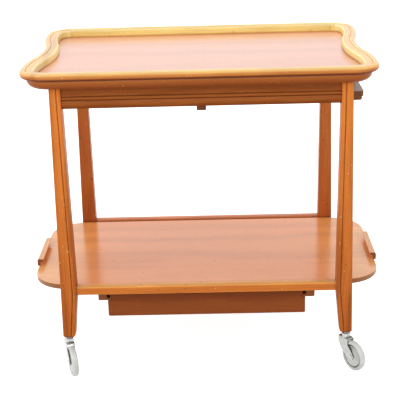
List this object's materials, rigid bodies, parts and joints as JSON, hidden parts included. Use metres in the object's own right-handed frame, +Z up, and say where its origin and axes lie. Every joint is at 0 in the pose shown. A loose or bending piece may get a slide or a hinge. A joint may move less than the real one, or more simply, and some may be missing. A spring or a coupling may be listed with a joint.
{
  "type": "drop leaf tea trolley",
  "caption": "Wooden two-tier tea trolley on swivel casters, with a moulded top with hollowed ends, a leaf that slides out, a loose lower tray and a shallow drawer.",
  "frame": {"origin": "on the floor, under the middle of the trolley's bounding box", "axes": "+X along the length towards the end where the leaf slides out, +Y from front to back (the drawer opens towards -Y), +Z up"},
  "size_m": [0.801, 0.5526, 0.707],
  "materials": {
    "pale_rim_wood": "clear satin lacquer over pale wood",
    "top_board_wood": "satin veneered field",
    "leg_wood": "satin lacquer",
    "apron_wood": "satin lacquer",
    "rail_wood": "satin lacquer",
    "runner_wood": "bare planed wood",
    "leaf_wood": "satin veneer",
    "tray_wood": "glossy lacquered veneer",
    "handle_wood": "satin lacquer",
    "drawer_wood": "bare planed wood",
    "drawer_front_wood": "satin lacquer",
    "fork_plating": "bright plating",
    "disc_steel": "satin steel",
    "socket_steel": "zinc plated",
    "grey_tyre": "pale grey rubber"
  },
  "bodies": {
    "frame": {"top_board": "top_board_wood", "rim_front": "pale_rim_wood", "rim_back": "pale_rim_wood", "rim_left": "pale_rim_wood", "rim_right": "pale_rim_wood", "leg_front_left": "leg_wood", "leg_front_right": "leg_wood", "leg_back_left": "leg_wood", "leg_back_right": "leg_wood", "apron_front": "apron_wood", "apron_back": "apron_wood", "end_rail_left": "apron_wood", "end_rail_right": "apron_wood", "corner_blocks": "apron_wood", "shelf_rail_front": "rail_wood", "shelf_rail_back": "rail_wood", "leaf_bearer": "rail_wood", "leaf_runner_front": "runner_wood", "leaf_runner_back": "runner_wood", "drawer_runner_left": "runner_wood", "drawer_runner_right": "runner_wood", "caster_socket_front_left": "socket_steel", "caster_socket_front_right": "socket_steel", "caster_socket_back_left": "socket_steel", "caster_socket_back_right": "socket_steel"},
    "leaf": {"leaf_board": "leaf_wood", "leaf_end_batten": "leaf_wood", "leaf_stop": "leaf_wood"},
    "tray": {"tray_board": "tray_wood", "tray_handle_left": "handle_wood", "tray_handle_right": "handle_wood"},
    "drawer": {"drawer_front": "drawer_front_wood", "drawer_back": "drawer_wood", "drawer_base": "drawer_wood", "drawer_side_left": "drawer_wood", "drawer_side_right": "drawer_wood", "drawer_cleat_left": "drawer_wood", "drawer_cleat_right": "drawer_wood"},
    "fork_front_left": {"caster_fork_front_left": "fork_plating", "caster_axle_front_left": "fork_plating"},
    "wheel_front_left": {"wheel_disc_front_left": "disc_steel", "tyre_front_left": "grey_tyre"},
    "fork_front_right": {"caster_fork_front_right": "fork_plating", "caster_axle_front_right": "fork_plating"},
    "wheel_front_right": {"wheel_disc_front_right": "disc_steel", "tyre_front_right": "grey_tyre"},
    "fork_back_left": {"caster_fork_back_left": "fork_plating", "caster_axle_back_left": "fork_plating"},
    "wheel_back_left": {"wheel_disc_back_left": "disc_steel", "tyre_back_left": "grey_tyre"},
    "fork_back_right": {"caster_fork_back_right": "fork_plating", "caster_axle_back_right": "fork_plating"},
    "wheel_back_right": {"wheel_disc_back_right": "disc_steel", "tyre_back_right": "grey_tyre"}
  },
  "joints": [
    {"name": "leaf_slide", "type": "slide", "parent": "frame", "child": "leaf", "axis": [1, 0, 0], "range_m": [0, 0.238]},
    {"name": "tray_slide", "type": "slide", "parent": "frame", "child": "tray", "axis": [1, 0, 0], "range_m": [-0.15, 0.15]},
    {"name": "drawer_slide", "type": "slide", "parent": "frame", "child": "drawer", "axis": [0, -1, 0], "range_m": [0, 0.21]},
    {"name": "swivel_front_left", "type": "hinge", "parent": "frame", "child": "fork_front_left", "pos_m": [-0.3175, -0.216, 0.084], "axis": [0, 0, 1], "continuous": true},
    {"name": "wheel_spin_front_left", "type": "hinge", "parent": "fork_front_left", "child": "wheel_front_left", "pos_m": [-0.30838, -0.24247, 0.0345], "axis": [0.9455, 0.3256, 0], "continuous": true},
    {"name": "swivel_front_right", "type": "hinge", "parent": "frame", "child": "fork_front_right", "pos_m": [0.3175, -0.216, 0.084], "axis": [0, 0, 1], "continuous": true},
    {"name": "wheel_spin_front_right", "type": "hinge", "parent": "fork_front_right", "child": "wheel_front_right", "pos_m": [0.33275, -0.23948, 0.0345], "axis": [0.8387, 0.5446, 0], "continuous": true},
    {"name": "swivel_back_left", "type": "hinge", "parent": "frame", "child": "fork_back_left", "pos_m": [-0.3175, 0.216, 0.084], "axis": [0, 0, 1], "continuous": true},
    {"name": "wheel_spin_back_left", "type": "hinge", "parent": "fork_back_left", "child": "wheel_back_left", "pos_m": [-0.32661, 0.24247, 0.0345], "axis": [-0.9455, -0.3256, 0], "continuous": true},
    {"name": "swivel_back_right", "type": "hinge", "parent": "frame", "child": "fork_back_right", "pos_m": [0.3175, 0.216, 0.084], "axis": [0, 0, 1], "continuous": true},
    {"name": "wheel_spin_back_right", "type": "hinge", "parent": "fork_back_right", "child": "wheel_back_right", "pos_m": [0.30224, 0.23948, 0.0345], "axis": [-0.8387, -0.5446, 0], "continuous": true}
  ]
}
